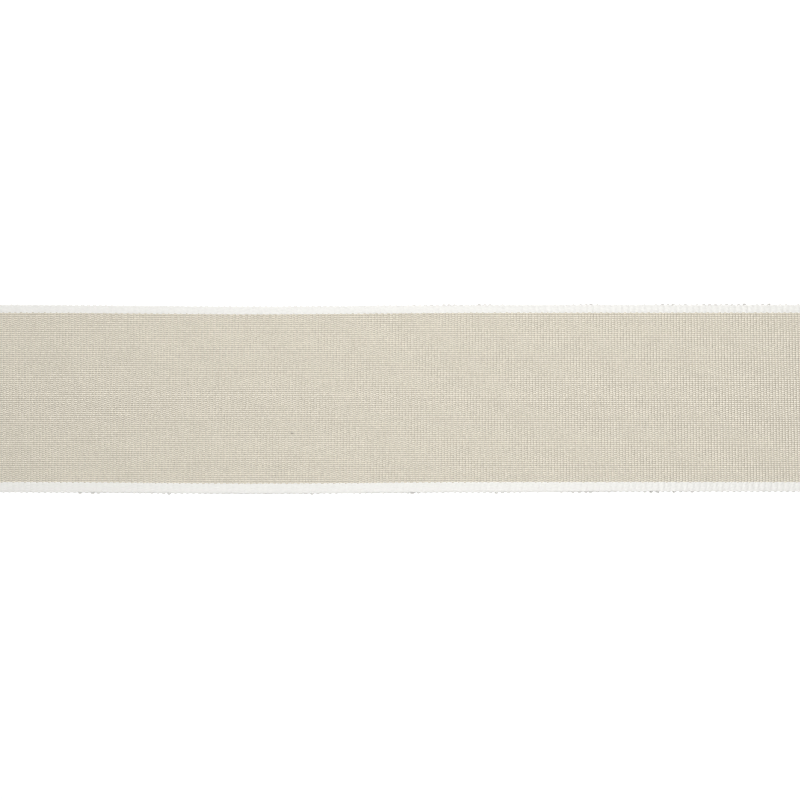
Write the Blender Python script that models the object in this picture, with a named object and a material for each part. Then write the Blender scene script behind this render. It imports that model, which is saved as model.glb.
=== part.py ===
"""A cut length of woven tape trim, lying flat with its face side up.

The tape is woven in one piece: an oatmeal field of fine crosswise ribs, one for each weft pick,
between two narrow white edges. The weft turns back at each edge on every second pick, so the
edges' ribs are two picks apart. Metres, +Z up, +X along the tape.
The origin is the middle of the flat underside's box.
"""

import math

import bmesh
import bpy
from mathutils import Vector

# The weave along the tape
PICK_PITCH = 0.001012       # one weft pick, and so one rib of the field
PICKS = 288                 # picks in the cut length, an even number
LENGTH = PICKS * PICK_PITCH

# The tape's width, from the white edge at +Y to the white edge at -Y
WIDTH = 0.0639
EDGE_WIDTH = {+1: 0.0027, -1: 0.00325}
FIELD_RIM = 0.0004          # the field rises from the groove beside each edge over this distance

# Heights above the surface that the tape lies on
FIELD_THICK = 0.00105       # over a rib of the field
FIELD_RIB = 0.00020         # depth of the furrow between two ribs
GROOVE_HEIGHT = 0.00084     # where the field meets a white edge
EDGE_THICK = 0.00108        # over a rib of the white edge
EDGE_RIB = 0.00010          # depth of the furrow between two of its ribs
LOOP_REACH = 0.00018        # how far a turn of the weft stands out past the furrow beside it

# The white edge's section, as shares of its width and of its height: level between a rounded outer
# side and the slope down to the groove
SIDE_RISE = 0.33
SHOULDER_INSET = 0.07
SHOULDER_RISE = 0.80
LEVEL_FROM = 0.22
LEVEL_TO = 0.90
FOOT_INSET = 0.00012

# How the length lies: a slight bend in its plane, and picks that lean more towards +X
BEND_DEPTH = 0.00055
BEND_MIDDLE = -0.048
BEND_REACH = 0.049
LEAN_MIDDLE = 0.013
LEAN_PER_METRE = 0.060

# The colours of the two yarns, as linear values, and their roughness
OATMEAL = (0.62, 0.57, 0.47, 1.0)
WHITE = (0.86, 0.85, 0.81, 1.0)
YARN_ROUGHNESS = 0.9
MATERIALS = {"oatmeal rib weave": OATMEAL, "white woven edge": WHITE}
FIELD_FACE, EDGE_FACE = 0, 1


def remove_scene_objects():
    for obj in list(bpy.data.objects):
        bpy.data.objects.remove(obj, do_unlink=True)


def yarn_material(name, colour):
    """A dull cloth finish in one yarn's colour."""
    material = bpy.data.materials.new(name)
    material.use_nodes = True
    shader = material.node_tree.nodes["Principled BSDF"]
    shader.inputs["Base Color"].default_value = colour
    shader.inputs["Roughness"].default_value = YARN_ROUGHNESS
    shader.inputs["Metallic"].default_value = 0.0
    return material


def on_tape(picks, across, height):
    """The place of a point that is so many picks from the left end, and so far from the centre line."""
    along = picks * PICK_PITCH - LENGTH / 2
    lean = LEAN_MIDDLE + LEAN_PER_METRE * along
    bend = -BEND_DEPTH * math.exp(-((along - BEND_MIDDLE) / BEND_REACH) ** 2)
    return (along - lean * across, across + bend, height)


def edge_section(side, pick):
    """Half a cross-section at the line before a pick: from the foot of a white edge in to the groove."""
    on_rib = pick % 2 == (1 if side > 0 else 0)
    furrow = 0.0 if on_rib else EDGE_RIB
    reach = WIDTH / 2 - (0.0 if on_rib else LOOP_REACH)
    inset = EDGE_WIDTH[side]
    crown = EDGE_THICK - furrow
    profile = (
        (WIDTH / 2 - FOOT_INSET, 0.0),
        (reach, SIDE_RISE * EDGE_THICK),
        (WIDTH / 2 - SHOULDER_INSET * inset, SHOULDER_RISE * crown),
        (WIDTH / 2 - LEVEL_FROM * inset, crown),
        (WIDTH / 2 - LEVEL_TO * inset, crown),
        (WIDTH / 2 - inset, GROOVE_HEIGHT),
    )
    return [on_tape(pick, side * across, height) for across, height in profile]


def field_rim(side, half_pick):
    """The field's surface beside a groove: an odd half pick is on a rib, an even one is in a furrow."""
    height = FIELD_THICK if half_pick % 2 else FIELD_THICK - FIELD_RIB
    across = side * (WIDTH / 2 - EDGE_WIDTH[side] - FIELD_RIM)
    return on_tape(half_pick / 2, across, height)


def add_face(bm, corners, side, kind):
    """A face whose corners are given in the order that points it out on the +Y half."""
    face = bm.faces.new(corners if side > 0 else corners[::-1])
    face.material_index = kind
    return face


def tape_mesh():
    bm = bmesh.new()
    edges = {
        side: [[bm.verts.new(point) for point in edge_section(side, pick)] for pick in range(PICKS + 1)]
        for side in (+1, -1)
    }
    rims = {
        side: [bm.verts.new(field_rim(side, half)) for half in range(2 * PICKS + 1)]
        for side in (+1, -1)
    }

    for side in (+1, -1):
        for pick in range(PICKS):
            here, there = edges[side][pick], edges[side][pick + 1]
            for row in range(len(here) - 1):
                add_face(bm, [here[row], here[row + 1], there[row + 1], there[row]], side, EDGE_FACE)
            first, rib, last = rims[side][2 * pick: 2 * pick + 3]
            add_face(bm, [here[-1], first, rib], side, FIELD_FACE)
            add_face(bm, [here[-1], rib, there[-1]], side, FIELD_FACE)
            add_face(bm, [there[-1], rib, last], side, FIELD_FACE)

    for half in range(2 * PICKS):
        corners = [rims[+1][half], rims[-1][half], rims[-1][half + 1], rims[+1][half + 1]]
        add_face(bm, corners, +1, FIELD_FACE)
    for pick in range(PICKS):
        corners = ((-1, pick), (+1, pick), (+1, pick + 1), (-1, pick + 1))
        feet = [edges[side][place][0] for side, place in corners]
        add_face(bm, feet, +1, FIELD_FACE)
    for end, side in ((0, -1), (PICKS, +1)):
        section = edges[+1][end] + [rims[+1][2 * end], rims[-1][2 * end]] + edges[-1][end][::-1]
        add_face(bm, section, side, FIELD_FACE)

    along = [vert.co.x for vert in bm.verts]
    across = [vert.co.y for vert in bm.verts]
    middle = Vector(((min(along) + max(along)) / 2, (min(across) + max(across)) / 2, 0.0))
    bmesh.ops.translate(bm, verts=bm.verts, vec=-middle)
    mesh = bpy.data.meshes.new("tape")
    bm.to_mesh(mesh)
    bm.free()
    return mesh


def build_tape():
    mesh = tape_mesh()
    for name, colour in MATERIALS.items():
        mesh.materials.append(yarn_material(name, colour))
    mesh.shade_smooth()
    mesh.set_sharp_from_angle(angle=math.radians(50))
    tape = bpy.data.objects.new("tape", mesh)
    bpy.context.scene.collection.objects.link(tape)


remove_scene_objects()
build_tape()
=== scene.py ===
"""A cut length of woven tape trim: an oatmeal field of fine ribs between two narrow white edges.

Metres, +Z up, +X along the tape and +Y across it.
"""

import math

import bpy
import numpy as np
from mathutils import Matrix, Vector


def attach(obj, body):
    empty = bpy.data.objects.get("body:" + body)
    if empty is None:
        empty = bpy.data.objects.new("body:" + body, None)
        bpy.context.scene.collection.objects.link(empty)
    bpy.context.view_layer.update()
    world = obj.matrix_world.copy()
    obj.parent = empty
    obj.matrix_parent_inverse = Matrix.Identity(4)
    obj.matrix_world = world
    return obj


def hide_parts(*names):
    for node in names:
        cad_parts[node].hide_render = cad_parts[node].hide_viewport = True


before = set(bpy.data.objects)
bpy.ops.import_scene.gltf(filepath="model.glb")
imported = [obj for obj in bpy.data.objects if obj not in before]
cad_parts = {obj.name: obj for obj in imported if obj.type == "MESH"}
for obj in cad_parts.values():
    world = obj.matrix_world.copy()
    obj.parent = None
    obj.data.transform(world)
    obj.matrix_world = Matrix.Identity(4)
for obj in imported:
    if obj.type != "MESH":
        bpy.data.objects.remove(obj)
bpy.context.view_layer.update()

# How the tape lies
# The tape is one layer of ribbed weave, flat on the table and cut across at both ends. It lies with a
# slight bend in its plane, and its weft picks lean a little, more so towards +X. The white edge at -Y is
# slacker, and so wider, over most of the length.

PICK_PITCH = 0.001012
PICKS = 288
LENGTH = PICK_PITCH * PICKS
WIDTH = 0.0639
EDGE_WIDTH = {+1: 0.0027, -1: 0.00325}
BEND_DEPTH, BEND_MIDDLE, BEND_REACH = 0.00055, -0.048, 0.049
LEAN_MIDDLE, LEAN_PER_METRE = 0.013, 0.060
SLACK, SLACK_END, SLACK_FADE, SLACK_LIMIT = 0.00025, 0.065, 0.012, 1.2


def lay(picks, across, height):
    """Places so many picks from the left end, so far from the centre line and so high."""
    along = picks * PICK_PITCH - LENGTH / 2
    lean = LEAN_MIDDLE + LEAN_PER_METRE * along
    bend = BEND_DEPTH * (0.5 - np.exp(-((along - BEND_MIDDLE) / BEND_REACH) ** 2))
    into_edge = np.clip((-across - WIDTH / 2) / EDGE_WIDTH[-1] + 1, 0.0, SLACK_LIMIT)
    across = across - into_edge * SLACK / (1 + np.exp((along - SLACK_END) / SLACK_FADE))
    return np.stack(np.broadcast_arrays(along - lean * across, across + bend, height), axis=-1)


# The section across the tape
# The field is flat and drops into a narrow groove at each side. Past the groove each white edge is
# level over most of its width, then rounds over to the outer side and the foot.

FIELD_THICK, EDGE_THICK, GROOVE_HEIGHT = 0.00105, 0.00108, 0.00094
SIDE_HEIGHT, FOOT_INSET = 0.00035, 0.00012
LEVEL_FROM, LEVEL_TO = 0.18, 0.93
TURN_STAND = 0.00006
FIELD_RIM = 0.0004
ARC_STEPS = 12


def section_points():
    """The tape's outline over its face, from the foot at +Y to the foot at -Y."""
    quarter = np.linspace(0.0, math.pi / 2, ARC_STEPS)
    halves = []
    for side in (+1, -1):
        reach, width = WIDTH / 2 - TURN_STAND, EDGE_WIDTH[side] - TURN_STAND
        under = np.stack([reach - FOOT_INSET * (1 - np.sin(quarter)), SIDE_HEIGHT * (1 - np.cos(quarter))], 1)
        over = np.stack([reach - LEVEL_FROM * width * (1 - np.cos(quarter)),
                         SIDE_HEIGHT + (EDGE_THICK - SIDE_HEIGHT) * np.sin(quarter)], 1)
        inner = np.stack([reach - LEVEL_TO * width - (1 - LEVEL_TO) * width * np.sin(quarter),
                          GROOVE_HEIGHT + (EDGE_THICK - GROOVE_HEIGHT) * np.cos(quarter)], 1)
        rim = np.stack([reach - width - FIELD_RIM * (1 - np.cos(quarter)),
                        GROOVE_HEIGHT + (FIELD_THICK - GROOVE_HEIGHT) * np.sin(quarter)], 1)
        half = np.concatenate([under, over[1:], inner, rim[1:]])
        half[:, 0] *= side
        halves.append(half)
    return np.concatenate([halves[0], halves[1][::-1]])


outline = section_points()
outline_run = np.concatenate([[0.0], np.cumsum(np.linalg.norm(np.diff(outline, axis=0), axis=1))])


def on_section(run):
    """A place on the outline, and the direction out of it, at each distance along it from the +Y foot."""
    step = 0.00005
    place = np.stack([np.interp(run, outline_run, outline[:, k]) for k in (0, 1)], -1)
    ahead = np.stack([np.interp(run + step, outline_run, outline[:, k]) for k in (0, 1)], -1)
    behind = np.stack([np.interp(run - step, outline_run, outline[:, k]) for k in (0, 1)], -1)
    tangent = ahead - behind
    tangent /= np.linalg.norm(tangent, axis=-1, keepdims=True)
    return place, np.stack([tangent[..., 1], -tangent[..., 0]], -1)


def run_at(across):
    """The distance along the outline to where its face crosses a given distance from the centre line."""
    face = outline[:, 1] > SIDE_HEIGHT
    order = np.argsort(outline[face, 0])
    return float(np.interp(across, outline[face, 0][order], outline_run[face][order]))


field_start = run_at(WIDTH / 2 - EDGE_WIDTH[+1])
field_end = run_at(-(WIDTH / 2 - EDGE_WIDTH[-1]))

# The yarns
# The field is an oatmeal yarn and the edges are a white one. Both are smooth spun polyester, two plies
# twisted together, with a low lustre. Every end differs a little in shade from its neighbours.

TWIST_PITCH = 0.0011
MOTTLE_SIZE = 0.00625
YARN_IOR, SHEEN_ROUGHNESS = 1.64, 0.4
# A yarn holds about a hundred fibres, too fine to show, so nine coarse ones are drawn round it. Yarns of
# different shades lie far apart in that pattern, so that no two look alike.
FIBRE_LENGTH, FIBRES_ROUND, YARNS_APART = 0.0004, 9.0, 40.0
FIBRE_RELIEF, BUMP_STRENGTH, BUMP_HEIGHT = 1.5, 0.5, 0.00003


def linear(hex_colour):
    """An sRGB hex colour as linear values with full alpha."""
    parts = [int(hex_colour[k:k + 2], 16) / 255 for k in (1, 3, 5)]
    return tuple(c / 12.92 if c <= 0.04045 else ((c + 0.055) / 1.055) ** 2.4 for c in parts) + (1.0,)


def add_node(tree, kind, inputs=None, **settings):
    """Adds a node, sets it, and fills its inputs with values or links."""
    made = tree.nodes.new(kind)
    for key, value in settings.items():
        setattr(made, key, value)
    for socket, value in (inputs or {}).items():
        if isinstance(value, bpy.types.NodeSocket):
            tree.links.new(value, made.inputs[socket])
        else:
            made.inputs[socket].default_value = value
    return made


def yarn_material(name, colour, roughness, sheen, end_shade, mottle_shade, fibre_shade):
    """A twisted yarn. The mesh gives each point its metres along the yarn, share of a turn and shade."""
    material = bpy.data.materials.new(name)
    material.use_nodes = True
    tree = material.node_tree
    shader = tree.nodes["Principled BSDF"]
    place = add_node(tree, "ShaderNodeAttribute", attribute_name="yarn_place").outputs["Vector"]
    parts = add_node(tree, "ShaderNodeSeparateXYZ", {0: place}).outputs
    turn = add_node(tree, "ShaderNodeMath", {0: parts["X"], 1: 1 / TWIST_PITCH, 2: parts["Y"]},
                    operation="MULTIPLY_ADD")
    angle = add_node(tree, "ShaderNodeMath", {0: turn.outputs[0], 1: 2 * math.pi}, operation="MULTIPLY")
    plies = add_node(tree, "ShaderNodeMath", {0: angle.outputs[0]}, operation="SINE")
    drawn = add_node(tree, "ShaderNodeVectorMath",
                     {0: place, 1: (1 / FIBRE_LENGTH, FIBRES_ROUND, YARNS_APART)}, operation="MULTIPLY")
    fibres = add_node(tree, "ShaderNodeTexNoise", {"Vector": drawn.outputs[0], "Scale": 1.0, "Detail": 2.0})
    body = add_node(tree, "ShaderNodeTexCoord").outputs["Object"]
    mottle = add_node(tree, "ShaderNodeTexNoise", {"Vector": body, "Scale": 1 / MOTTLE_SIZE, "Detail": 3.0})

    # The shade from the mesh is each end's own tone and, on the warp ends, painted shade at their sides.
    tone = add_node(tree, "ShaderNodeMath", {0: parts["Z"], 1: end_shade, 2: 1.0}, operation="MULTIPLY_ADD")
    for source, share in ((mottle, mottle_shade), (fibres, fibre_shade)):
        centred = add_node(tree, "ShaderNodeMath", {0: source.outputs["Fac"], 1: 0.5}, operation="SUBTRACT")
        tone = add_node(tree, "ShaderNodeMath", {0: centred.outputs[0], 1: share, 2: tone.outputs[0]},
                        operation="MULTIPLY_ADD")
    toned = add_node(tree, "ShaderNodeVectorMath", {0: linear(colour)[:3], "Scale": tone.outputs[0]},
                     operation="SCALE")
    tree.links.new(toned.outputs[0], shader.inputs["Base Color"])

    relief = add_node(tree, "ShaderNodeMath",
                      {0: fibres.outputs["Fac"], 1: FIBRE_RELIEF, 2: plies.outputs[0]},
                      operation="MULTIPLY_ADD")
    bump = add_node(tree, "ShaderNodeBump",
                    {"Height": relief.outputs[0], "Strength": BUMP_STRENGTH, "Distance": BUMP_HEIGHT})
    tree.links.new(bump.outputs["Normal"], shader.inputs["Normal"])
    shader.inputs["Roughness"].default_value = roughness
    shader.inputs["IOR"].default_value = YARN_IOR
    shader.inputs["Sheen Weight"].default_value = sheen
    shader.inputs["Sheen Roughness"].default_value = SHEEN_ROUGHNESS
    return material


# Oatmeal: warm and even, with single ends a touch lighter or darker that run as faint lines.
oatmeal_yarn = yarn_material("oatmeal polyester yarn", "#CDC6B6", roughness=0.45, sheen=0.10,
                             end_shade=0.030, mottle_shade=0.03, fibre_shade=0.22)
# White: nearly level in shade, so the edges read as one plain line.
white_yarn = yarn_material("white polyester yarn", "#D7D6D2", roughness=0.50, sheen=0.10,
                           end_shade=0.010, mottle_shade=0.02, fibre_shade=0.14)
# Packed: the oatmeal yarn inside the cloth, pressed tight and duller. Its darker colour is painted shade,
# for the shade that lies between the ends.
packed_yarn_in_painted_shade = yarn_material("packed oatmeal yarn in painted shade", "#C4BCA8", roughness=0.60, sheen=0.05,
                            end_shade=0.0, mottle_shade=0.06, fibre_shade=0.10)

# The body of the cloth
# Inside, every weft pick runs straight across under the warp. The body is a closed layer of packed yarn
# just below the face, coloured darker with painted shade where it shows between the ends. It stops a
# little short of the cut ends, and its underside shows the picks as ribs.

BODY_INSET = 0.00030
BODY_END = 0.2
BODY_ROWS = 16
BACK_RIB = 0.00010
BODY_CORNER = math.radians(50)


def add_mesh(name, points, faces, places, material):
    """A smooth mesh piece that carries each point's place on its yarn."""
    mesh = bpy.data.meshes.new(name)
    mesh.from_pydata(points.reshape(-1, 3), [], faces)
    mesh.shade_smooth()
    on_yarn = mesh.attributes.new("yarn_place", "FLOAT_VECTOR", "POINT")
    on_yarn.data.foreach_set("vector", np.ascontiguousarray(places, dtype=np.float32).reshape(-1))
    mesh.materials.append(material)
    piece = bpy.data.objects.new(name, mesh)
    bpy.context.scene.collection.objects.link(piece)
    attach(piece, "root")
    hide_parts("tape")
    return piece


body_run = np.concatenate([np.linspace(0.0, field_start + FIELD_RIM, BODY_ROWS),
                           np.linspace(field_end - FIELD_RIM, outline_run[-1], BODY_ROWS)])
body_place, body_out = on_section(body_run)
body_skin = body_place - BODY_INSET * body_out
half_picks = np.linspace(BODY_END, PICKS - BODY_END, 2 * PICKS + 1)
back_rise = BACK_RIB * (np.arange(2 * PICKS + 1) % 2)
skin_height = np.maximum(body_skin[None, :, 1], back_rise[:, None])
body_points = lay(half_picks[:, None], body_skin[None, :, 0], skin_height)
sections, ring = body_points.shape[:2]
body_faces = [(k * ring + j, k * ring + (j + 1) % ring, (k + 1) * ring + (j + 1) % ring, (k + 1) * ring + j)
              for k in range(sections - 1) for j in range(ring)]
body_faces.append(tuple(range(ring))[::-1])
body_faces.append(tuple((sections - 1) * ring + j for j in range(ring)))
body_places = np.stack(np.broadcast_arrays(body_skin[None, :, 0], 0.5 * half_picks[:, None], 0.0), -1)
cloth_body = add_mesh("cloth_body", body_points, body_faces, body_places, packed_yarn_in_painted_shade)
cloth_body.data.set_sharp_from_angle(angle=BODY_CORNER)

# The field's warp
# Pairs of oatmeal ends share each dent of the reed. One rises over the odd picks and its partner over the
# even ones, so a dent shows as one fine line of dots that steps a little from side to side. One float
# left of the middle has a dark speck in it.

DENTS = 81
PARTNER_SHIFT = 0.00007
END_WIDTH = 0.00077
END_ARCH = 0.00020
END_DIP = 0.00021
DIP_SOFTENING = 0.15
FLOAT_HALF = 0.28
WARP_END = 0.1
ABOVE_TABLE = 0.00002
UNEVEN = 0.000014
END_SHADE, FLOAT_SHADE, SHADE_LIMIT = 0.4, 1.1, 2.5
# Painted shade: how far each field end is darkened towards its sides, for the shade between the ends.
SIDE_PAINTED_SHADE = 10.0
SPECK, SPECK_REACH, SPECK_SHADE = (-0.0368, -0.0116), 0.00045, 9.0
YARN_START = 0.05
dent = (field_end - field_start) / DENTS
chance = np.random.default_rng(25)


def warp_ends(name, centres, shed, rib, first, floats, width, arch, dip, furrow, painted_side_shade, material):
    """Warp ends side by side, each rising over every other rib and dipping under the next.

    The shed, 0 or 1, says which ribs they rise over. A rib is so many picks long, and the first stands at
    a given pick. The floats are the places on a rib, in shares of it, that the mesh follows. An end falls
    by the arch towards its sides, by twice the dip under a rib and by the furrow between two ribs.
    """
    order = np.arange(int(PICKS / rib) + 1)
    floats = np.array(floats)
    samples = (first + order[:, None] * rib + floats[None, :] * rib).reshape(-1)
    depth = 1.0 - DIP_SOFTENING * (floats / floats.max()) ** 2
    height = (np.where((order % 2 == shed)[:, None], 0.0, -2 * dip) * depth[None, :]
              - furrow * (2 * floats[None, :]) ** 2).reshape(-1)
    inside = (samples > WARP_END) & (samples < PICKS - WARP_END)
    samples, height = samples[inside], height[inside]
    shares = np.array([-0.5, 0.0, 0.5])
    wander, bulge = chance.normal(0.0, UNEVEN, (2, len(centres), len(samples), 1))
    base, normal = on_section(centres[:, None, None] + shares * width + wander)
    lift = height[None, :, None] - arch * (2 * shares) ** 2 + bulge
    spot = base + normal * lift[..., None]
    points = lay(samples[None, :, None], spot[..., 0], np.maximum(spot[..., 1], ABOVE_TABLE))
    ends, rows, columns = points.shape[:3]
    index = np.arange(ends * rows * columns).reshape(ends, rows, columns)
    quads = np.stack([index[:, :-1, :-1], index[:, 1:, :-1], index[:, 1:, 1:], index[:, :-1, 1:]], -1)
    own_shade = END_SHADE * chance.normal(0.0, 1.0, (ends, 1, 1))
    own_shade = own_shade + FLOAT_SHADE * chance.normal(0.0, 1.0, (ends, rows, 1))
    on_speck = np.hypot(points[..., 0] - SPECK[0], points[..., 1] - SPECK[1]) < SPECK_REACH
    # Painted shade darkens each end towards its sides, where neighbouring ends press together; the rest is
    # each end's own tone.
    shade = np.clip(own_shade, -SHADE_LIMIT, SHADE_LIMIT) - painted_side_shade * (2 * shares) ** 2
    shade = shade - SPECK_SHADE * on_speck
    yarn_start = chance.uniform(0.0, YARN_START, (ends, 1, 1))
    along = yarn_start + samples[None, :, None] * PICK_PITCH
    places = np.stack(np.broadcast_arrays(along, shares / 2, shade), -1)
    return add_mesh(name, points, quads.reshape(-1, 4).tolist(), places, material)


for shed, shift in ((0, -PARTNER_SHIFT), (1, +PARTNER_SHIFT)):
    centres = field_start + (np.arange(DENTS) + 0.5) * dent + shift
    piece = warp_ends(f"field_ends_{shed + 1}", centres, shed, rib=1, first=0.5,
                      floats=(-FLOAT_HALF, FLOAT_HALF), width=END_WIDTH, arch=END_ARCH, dip=END_DIP,
                      furrow=0.0, painted_side_shade=SIDE_PAINTED_SHADE, material=oatmeal_yarn)

# The white edges' warp
# White ends lie close together over two picks at a time, so an edge is smoother than the field and its
# faint ribs are twice as far apart.

EDGE_DENT = 0.00050
EDGE_OVERLAP = 1.15
EDGE_ARCH, EDGE_DIP, EDGE_FURROW = 0.00014, 0.00003, 0.00020
EDGE_FLOATS = (-0.38, -0.16, 0.16, 0.38)
# Painted shade at the sides of each white end, lighter than in the field.
EDGE_SIDE_PAINTED_SHADE = 2.0
FIRST_RIB = {+1: 1.0, -1: 0.0}
SIDE_NAME = {+1: "far", -1: "near"}
EDGE_START = 0.00006
edge_end = outline_run[-1] - EDGE_START
for side, start, end in ((+1, EDGE_START, field_start), (-1, field_end, edge_end)):
    count = int(round((end - start) / EDGE_DENT))
    pitch = (end - start) / count
    for shed in (0, 1):
        centres = start + (np.arange(count) + 0.25 + 0.5 * shed) * pitch
        piece = warp_ends(f"edge_ends_{SIDE_NAME[side]}_{shed + 1}", centres, shed, rib=2,
                          first=FIRST_RIB[side], floats=EDGE_FLOATS, width=EDGE_OVERLAP * pitch,
                          arch=EDGE_ARCH, dip=EDGE_DIP, furrow=EDGE_FURROW, painted_side_shade=EDGE_SIDE_PAINTED_SHADE,
                          material=white_yarn)

# The weft's turns
# At each side the weft comes out under the face, slants down round the outermost white ends and goes
# back in the next pick. The turns stand a little proud of the edge, and in a few looser stretches some
# stand out further, lean and are darkened with painted shade, for the shade they lie in there.

TURN_RADIUS, TURN_TAPER, TURN_SIDES = 0.00024, 0.4, 7
TURN_HALF, TURN_STEPS = 0.62, 11
TURN_DEPTH = 0.00070
TURN_PROUD = 0.00008
TURN_HEIGHT, TURN_SLANT = 0.00052, 0.00022
OUT_SPREAD, HEIGHT_SPREAD, SKEW_SPREAD = 0.00005, 0.00004, 0.05
# The last of these is painted shade, in steps of tone, for the turns in the looser stretches.
LOOSE_OUT, LOOSE_SKEW, LOOSE_PAINTED_SHADE = 0.00040, 0.20, 14.0
FIRST_TURN = {+1: 1, -1: 2}
# The middle and half the length of each loose stretch, from the tape's middle.
LOOSE_STRETCHES = {
    +1: ((0.021, 0.013), (0.064, 0.005), (0.109, 0.028)),
    -1: ((-0.107, 0.004), (-0.079, 0.003), (-0.031, 0.003), (0.003, 0.005), (0.034, 0.006),
         (0.064, 0.009), (0.090, 0.010)),
}


def looseness(side, picks):
    """How loose an edge is so many picks from the left end, from 0 to 1."""
    along = picks * PICK_PITCH - LENGTH / 2
    return sum(np.exp(-((along - middle) / reach) ** 4) for middle, reach in LOOSE_STRETCHES[side])


def tubes(name, paths, radii, sides, shade, material):
    """Closed tubes along paths shaped (tubes, points, 3), with a radius at every point."""
    # A direction that no yarn of the tape runs along.
    crossing = (0.21, 0.13, 0.97)
    ahead = np.gradient(paths, axis=1)
    ahead /= np.linalg.norm(ahead, axis=-1, keepdims=True)
    first = np.cross(ahead, crossing)
    first /= np.linalg.norm(first, axis=-1, keepdims=True)
    second = np.cross(ahead, first)
    angle = np.arange(sides) * 2 * math.pi / sides
    round_it = first[:, :, None] * np.cos(angle)[:, None] + second[:, :, None] * np.sin(angle)[:, None]
    points = paths[:, :, None] + radii[:, :, None, None] * round_it
    count, length = paths.shape[:2]
    faces = []
    for tube in range(count):
        start = tube * length * sides
        for k in range(length - 1):
            low = start + k * sides
            faces += [(low + j, low + (j + 1) % sides, low + sides + (j + 1) % sides, low + sides + j)
                      for j in range(sides)]
        faces.append(tuple(start + j for j in range(sides))[::-1])
        faces.append(tuple(start + (length - 1) * sides + j for j in range(sides)))
    steps = np.linalg.norm(np.diff(paths, axis=1, prepend=paths[:, :1]), axis=-1).cumsum(axis=1)
    places = np.stack(np.broadcast_arrays(steps[:, :, None], (angle / (2 * math.pi))[None, None],
                                          shade[:, None, None]), -1)
    return add_mesh(name, points, faces, places, material)


along = TURN_HALF * np.sin(np.linspace(-math.pi / 2, math.pi / 2, TURN_STEPS))
bow = 1 - (along / TURN_HALF) ** 2
inset = TURN_DEPTH * (1 - bow) ** 1.5
rise = TURN_HEIGHT - TURN_SLANT * along / TURN_HALF
for side in (+1, -1):
    middles = np.arange(FIRST_TURN[side], PICKS, 2)
    count = len(middles)
    loose = looseness(side, middles)
    out = chance.normal(0.0, OUT_SPREAD, count) + loose * chance.uniform(0.0, LOOSE_OUT, count)
    skew = chance.normal(0.0, SKEW_SPREAD, count) + loose * chance.normal(0.0, LOOSE_SKEW, count)
    across = WIDTH / 2 + TURN_PROUD + out[:, None] - TURN_RADIUS - inset[None, :]
    height = rise[None, :] + chance.normal(0.0, HEIGHT_SPREAD, (count, 1))
    picks = middles[:, None] + along[None, :] + skew[:, None] * bow
    paths = lay(picks, side * across, height)
    radii = np.broadcast_to(TURN_RADIUS * (1 - TURN_TAPER + TURN_TAPER * bow), paths.shape[:2])
    # In the looser stretches the turns also get painted shade, for the shade of the edge that they lie in.
    shade = chance.normal(0.0, 1.0, count) - loose * chance.uniform(0.0, LOOSE_PAINTED_SHADE, count)
    piece = tubes(f"weft_turns_{SIDE_NAME[side]}", paths, radii, TURN_SIDES, shade, white_yarn)

# The cut ends
# The length is cut square across with shears. The cut warp ends stand out of it as short stubs, no two
# quite the same length, with their fibres still held together.

STUB_RADIUS, STUB_SIDES = 0.00024, 8
STUB_DEPTHS = np.array([0.00064, 0.00026])
STUB_REACH, STUB_STRAY, STUB_SIZES = 0.28, 0.00004, (0.85, 1.1)
EDGE_STUB_PITCH, FIRST_NEAR_STUB = 0.0004, 0.0003
# A stub's points from its root to its rounded tip, each with its share of the reach, the picks that it
# lies past the cut, its share of the stray and its share of the radius.
STUB_POINTS = np.array([
    (0.00, -0.60, 0.0, 1.00),
    (0.50, 0.00, 0.5, 1.00),
    (0.85, 0.03, 1.0, 0.92),
    (1.00, 0.07, 1.2, 0.65),
    (1.00, 0.09, 1.3, 0.30),
])
reach_share, past_cut, stray_share, radius_share = STUB_POINTS.T
field_runs = field_start + (np.arange(2 * DENTS) + 0.5) * dent / 2
edge_runs = np.concatenate([np.arange(EDGE_START + EDGE_STUB_PITCH, field_start, EDGE_STUB_PITCH),
                            np.arange(field_end + FIRST_NEAR_STUB, edge_end, EDGE_STUB_PITCH)])
for name, runs, material, slot in (("cut_field_ends", field_runs, oatmeal_yarn, "oatmeal_yarn"),
                                   ("cut_edge_ends", edge_runs, white_yarn, "white_yarn")):
    place, normal = on_section(runs)
    spots = place - normal * STUB_DEPTHS[np.arange(len(runs)) % 2][:, None]
    paths = []
    for at, way in ((0.0, -1), (float(PICKS), +1)):
        reach = chance.uniform(0.0, STUB_REACH, len(runs))
        steps = reach[:, None] * reach_share + past_cut
        stray = chance.normal(0.0, STUB_STRAY, (2, len(runs), 1)) * stray_share
        across = spots[:, :1] + stray[0]
        height = np.maximum(spots[:, 1:] + stray[1], STUB_RADIUS)
        paths.append(lay(at + way * steps, across, height))
    paths = np.concatenate(paths)
    radii = STUB_RADIUS * radius_share * chance.uniform(*STUB_SIZES, (len(paths), 1))
    piece = tubes(name, paths, radii, STUB_SIDES, chance.normal(0.0, 1.0, len(paths)), material)

# Loose fibres
# A few single fibres have worked out of the yarns, mostly where an edge is loose and at the cut ends.
# They are drawn at twice the real thickness of about 0.012 mm, so that they hold in a picture.

FIBRE_RADIUS, FIBRE_STEPS, FIBRE_SIDES = 0.000012, 7, 3
WAVE_SHARE = 0.25
ROOT_HEIGHTS = (0.0002, 0.0008)


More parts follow.
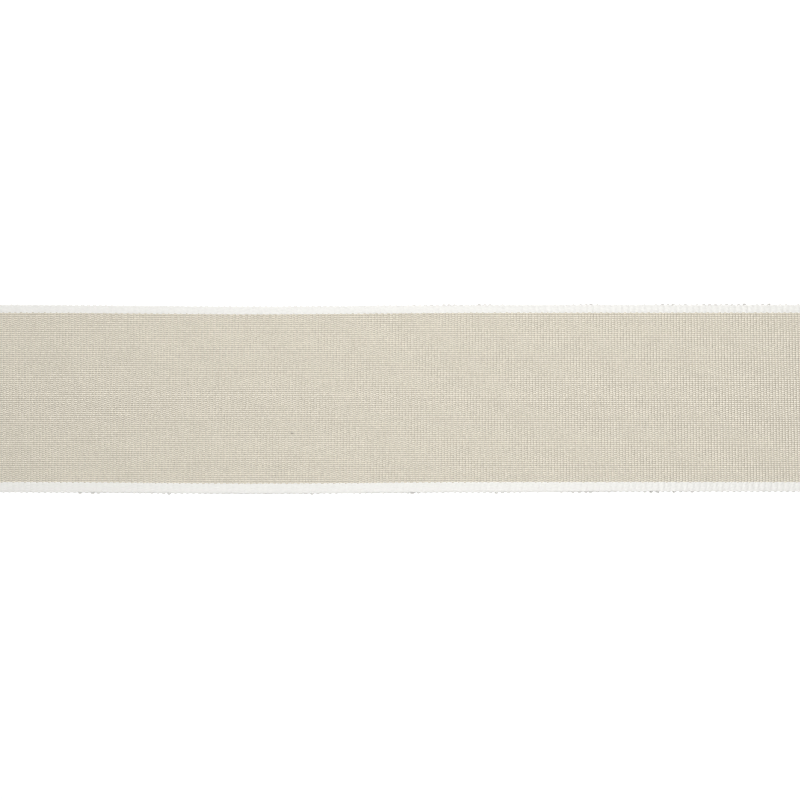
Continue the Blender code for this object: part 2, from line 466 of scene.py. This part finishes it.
def loose_fibres(name, roots, ways, lengths, curl, material):
    """Fine curved hairs from their roots."""
    share = np.linspace(0.0, 1.0, FIBRE_STEPS)
    ripple = np.sin(2 * math.pi * share)[None, :, None]
    bend = chance.normal(0.0, curl, (len(roots), 1, 3))
    wave = chance.normal(0.0, WAVE_SHARE * curl, (len(roots), 1, 3)) * ripple
    paths = roots[:, None] + lengths[:, None, None] * (
        ways[:, None] * share[None, :, None] + bend * share[None, :, None] ** 2 + wave)
    paths[..., 2] = np.maximum(paths[..., 2], 1.5 * FIBRE_RADIUS)
    radii = np.broadcast_to(FIBRE_RADIUS * (1 - 0.5 * share), paths.shape[:2])
    return tubes(name, paths, radii, FIBRE_SIDES, np.zeros(len(roots)), material)


# Along the edges, where a place keeps its fibre more often the looser the edge is there.
EDGE_PLACES, KEPT_TIGHT, KEPT_LOOSE = 900, 0.12, 0.5
EDGE_ROOT_INSET = 0.0002
EDGE_ALONG, EDGE_OUTWARD, EDGE_RISE, EDGE_RISE_SPREAD = 0.9, (0.3, 1.0), 0.1, 0.3
EDGE_LENGTHS, EDGE_CURL = (0.0003, 0.0012), 0.5
picks = chance.uniform(1, PICKS - 1, EDGE_PLACES)
sides = chance.choice([-1, 1], EDGE_PLACES)
loose = np.where(sides > 0, looseness(+1, picks), looseness(-1, picks))
kept = chance.random(EDGE_PLACES) < KEPT_TIGHT + KEPT_LOOSE * loose
picks, sides = picks[kept], sides[kept]
count = len(picks)
roots = lay(picks, sides * (WIDTH / 2 - EDGE_ROOT_INSET), chance.uniform(*ROOT_HEIGHTS, count))
ways = np.stack([chance.normal(0.0, EDGE_ALONG, count), sides * chance.uniform(*EDGE_OUTWARD, count),
                 chance.normal(EDGE_RISE, EDGE_RISE_SPREAD, count)], 1)
lengths = chance.uniform(*EDGE_LENGTHS, count)
edge_fibres = loose_fibres("edge_fibres", roots, ways, lengths, EDGE_CURL, white_yarn)

# On the field, most at the two cuts and the rest anywhere on the face.
FIELD_FIBRES, CUT_FIBRES = 220, 150
CUT_ROOT, FACE_ROOT = 0.1, FIELD_THICK - 0.00012
FIELD_REACH = 0.028
SIDEWAYS, FACE_ALONG = 0.5, 1.0
CUT_RISE_SPREAD, FACE_RISE = 0.3, (0.1, 0.4)
CUT_LENGTHS, FACE_LENGTHS, FIELD_CURL = (0.0004, 0.0015), (0.0003, 0.0009), 0.4
at_cut = np.arange(FIELD_FIBRES) < CUT_FIBRES
ends = chance.choice([-1, 1], FIELD_FIBRES)
cut_picks = np.where(ends < 0, CUT_ROOT, PICKS - CUT_ROOT)
picks = np.where(at_cut, cut_picks, chance.uniform(1, PICKS - 1, FIELD_FIBRES))
heights = np.where(at_cut, chance.uniform(*ROOT_HEIGHTS, FIELD_FIBRES), FACE_ROOT)
roots = lay(picks, chance.uniform(-FIELD_REACH, FIELD_REACH, FIELD_FIBRES), heights)
forward = np.where(at_cut, ends, chance.normal(0.0, FACE_ALONG, FIELD_FIBRES))
sideways = chance.normal(0.0, SIDEWAYS, FIELD_FIBRES)
upward = np.where(at_cut, chance.normal(0.0, CUT_RISE_SPREAD, FIELD_FIBRES),
                  chance.uniform(*FACE_RISE, FIELD_FIBRES))
lengths = np.where(at_cut, chance.uniform(*CUT_LENGTHS, FIELD_FIBRES),
                   chance.uniform(*FACE_LENGTHS, FIELD_FIBRES))
ways = np.stack([forward, sideways, upward], 1)
field_fibres = loose_fibres("field_fibres", roots, ways, lengths, FIELD_CURL, oatmeal_yarn)

# The floor
# The tape lies on a sheet of plain white paper. It is matt and even, so that nothing shows on it but the
# tape's own soft shadow.

FLOOR_HALF = 1.5
PAPER_ROUGHNESS = 0.9
corners = [(x * FLOOR_HALF, y * FLOOR_HALF, 0.0) for x, y in ((-1, -1), (1, -1), (1, 1), (-1, 1))]
mesh = bpy.data.meshes.new("floor")
mesh.from_pydata(corners, [], [(0, 1, 2, 3)])
floor = bpy.data.objects.new("floor", mesh)
bpy.context.scene.collection.objects.link(floor)
paper = bpy.data.materials.new("white paper")
paper.use_nodes = True
paper.node_tree.nodes["Principled BSDF"].inputs["Base Color"].default_value = linear("#FAFAFA")
paper.node_tree.nodes["Principled BSDF"].inputs["Roughness"].default_value = PAPER_ROUGHNESS
floor.data.materials.append(paper)

# The light
# A softbox hangs over the tape and a window at the left shades the ribs. A low fill at each side lights
# the outer sides of the white edges. The room has pale walls and a darker ceiling.

WALL_STRENGTH, CEILING_STRENGTH = 0.62, 0.10
WALL_TOP, CEILING_FROM = 0.10, 0.30


def add_lamp(name, kind, place, energy, **settings):
    """A lamp that is turned from its place towards the middle of the tape."""
    lamp = bpy.data.lights.new(name, kind)
    lamp.energy = energy
    for key, value in settings.items():
        setattr(lamp, key, value)
    holder = bpy.data.objects.new(name, lamp)
    holder.location = place
    holder.rotation_euler = Vector(place).to_track_quat("Z", "Y").to_euler()
    bpy.context.scene.collection.objects.link(holder)


add_lamp("softbox", "AREA", place=(0.040, 0.06, 0.48), energy=1.99, shape="SQUARE", size=0.27)
add_lamp("window", "SUN", place=(-0.60, 0.15, 1.0), energy=1.22, angle=math.radians(12))
add_lamp("near_fill", "SUN", place=(0.0, -1.0, 0.10), energy=1.7, angle=math.radians(20))
add_lamp("far_fill", "SUN", place=(0.0, 1.0, 0.10), energy=1.3, angle=math.radians(20))
world = bpy.data.worlds.new("studio")
world.use_nodes = True
backdrop = world.node_tree.nodes["Background"]
backdrop.inputs["Color"].default_value = (1, 1, 1, 1)
direction = add_node(world.node_tree, "ShaderNodeTexCoord").outputs["Generated"]
upwards = add_node(world.node_tree, "ShaderNodeSeparateXYZ", {0: direction}).outputs["Z"]
fade = add_node(world.node_tree, "ShaderNodeMapRange", {
    "Value": upwards, "From Min": WALL_TOP, "From Max": CEILING_FROM,
    "To Min": WALL_STRENGTH, "To Max": CEILING_STRENGTH})
world.node_tree.links.new(fade.outputs["Result"], backdrop.inputs["Strength"])
bpy.context.scene.world = world

# The camera
# The camera looks straight down and takes in 273 mm of the tape. A narrow pixel filter and a denoiser
# that reads its guides as they are keep the weave as sharp as in a photograph.

PICTURE_SPAN = 0.2731
CAMERA_HEIGHT, CAMERA_ACROSS = 1.0, -0.00035
SENSOR_WIDTH = 36
lens = bpy.data.cameras.new("camera")
lens.sensor_width = SENSOR_WIDTH
lens.lens = SENSOR_WIDTH * (CAMERA_HEIGHT - FIELD_THICK) / PICTURE_SPAN
camera = bpy.data.objects.new("camera", lens)
camera.location = (0.0, CAMERA_ACROSS, CAMERA_HEIGHT)
bpy.context.scene.collection.objects.link(camera)
bpy.context.scene.camera = camera
bpy.context.scene.view_settings.view_transform = "Standard"
bpy.context.scene.cycles.filter_width = 0.9
bpy.context.scene.cycles.denoising_prefilter = "NONE"
